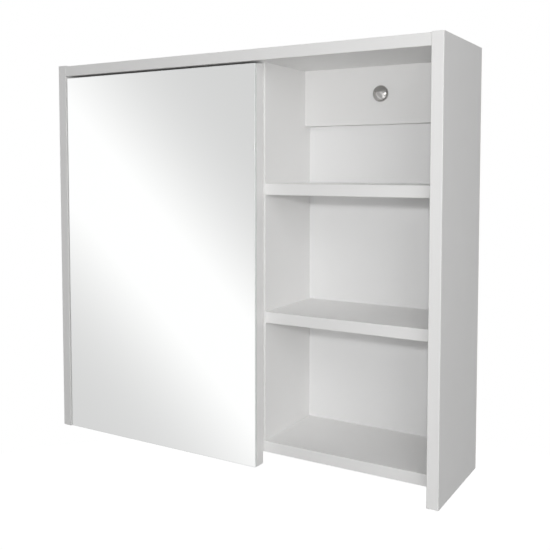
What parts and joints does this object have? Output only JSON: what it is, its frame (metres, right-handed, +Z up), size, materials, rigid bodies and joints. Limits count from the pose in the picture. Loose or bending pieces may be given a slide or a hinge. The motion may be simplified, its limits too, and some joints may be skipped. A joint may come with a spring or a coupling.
{
  "type": "mirror cabinet",
  "caption": "Wall-hung bathroom mirror cabinet: a frameless mirror door on concealed hinges over a shelved compartment, with open shelves beside it.",
  "frame": {"origin": "under the middle of the cabinet, level with the bottom ends of its two side panels", "axes": "+X to the right seen from the front, +Y back to the wall, +Z up; the door and the open bays face -Y"},
  "size_m": [0.6, 0.15, 0.55],
  "materials": {
    "white_board": "satin white melamine on chipboard",
    "back_board": "satin white lacquer on hardboard",
    "mirror": "silvered float glass",
    "foam_tape": "foam",
    "dowel_wood": "plain beech",
    "cast_zinc": "cast",
    "screw_steel": "zinc plated",
    "hinge_nickel": "nickel plated",
    "pin_steel": "bright",
    "cap_chrome": "polished",
    "washer_plastic": "matte",
    "clear_plastic": "clear"
  },
  "bodies": {
    "cabinet": {"left_side": "white_board", "right_side": "white_board", "top_panel": "white_board", "bottom_panel": "white_board", "partition": "white_board", "back_panel": "back_board", "lower_open_shelf": "white_board", "upper_open_shelf": "white_board", "lower_inner_shelf": "white_board", "upper_inner_shelf": "white_board", "left_rail": "white_board", "right_rail": "white_board", "shelf_pins": "screw_steel", "board_dowels": "dowel_wood", "cam_bolts": "screw_steel", "cam_discs": "cast_zinc", "partition_screws": "screw_steel", "shelf_screws": "screw_steel", "back_screws": "screw_steel", "left_cap_washer": "washer_plastic", "right_cap_washer": "washer_plastic", "left_bolt_cap": "cap_chrome", "right_bolt_cap": "cap_chrome", "door_bumpers": "clear_plastic", "lower_hinge_arm": "hinge_nickel", "upper_hinge_arm": "hinge_nickel", "lower_hinge_arm_pins": "pin_steel", "upper_hinge_arm_pins": "pin_steel", "lower_hinge_arm_screws": "screw_steel", "upper_hinge_arm_screws": "screw_steel", "lower_hinge_plate": "hinge_nickel", "upper_hinge_plate": "hinge_nickel", "lower_hinge_plate_screws": "screw_steel", "upper_hinge_plate_screws": "screw_steel"},
    "outer_links": {"lower_hinge_outer_link": "hinge_nickel", "upper_hinge_outer_link": "hinge_nickel"},
    "inner_links": {"lower_hinge_inner_link": "hinge_nickel", "upper_hinge_inner_link": "hinge_nickel", "lower_hinge_stub_pins": "pin_steel", "upper_hinge_stub_pins": "pin_steel"},
    "door": {"door_board": "white_board", "mirror_tape": "foam_tape", "mirror_glass": "mirror", "lower_hinge_cup": "hinge_nickel", "upper_hinge_cup": "hinge_nickel", "lower_hinge_cup_screws": "screw_steel", "upper_hinge_cup_screws": "screw_steel", "lower_hinge_cup_pin": "pin_steel", "upper_hinge_cup_pin": "pin_steel"}
  },
  "joints": [
    {"name": "door_swing", "type": "hinge", "parent": "outer_links", "child": "door", "pos_m": [-0.2726, -0.0625, 0.267], "axis": [0, 0, -1], "range_deg": [0, 116.85]},
    {"name": "outer_link_swing", "type": "hinge", "parent": "cabinet", "child": "outer_links", "pos_m": [-0.251, -0.037, 0.267], "axis": [0, 0, 1], "range_deg": [0, 21.86]},
    {"name": "inner_link_swing", "type": "hinge", "parent": "cabinet", "child": "inner_links", "pos_m": [-0.2495, -0.06, 0.267], "axis": [0, 0, 1], "range_deg": [0, 50.65]}
  ],
  "couplings": [
    {"joint": "outer_link_swing", "follows": "door_swing", "ratio": 0.18699},
    {"joint": "inner_link_swing", "follows": "door_swing", "ratio": 0.43333}
  ]
}
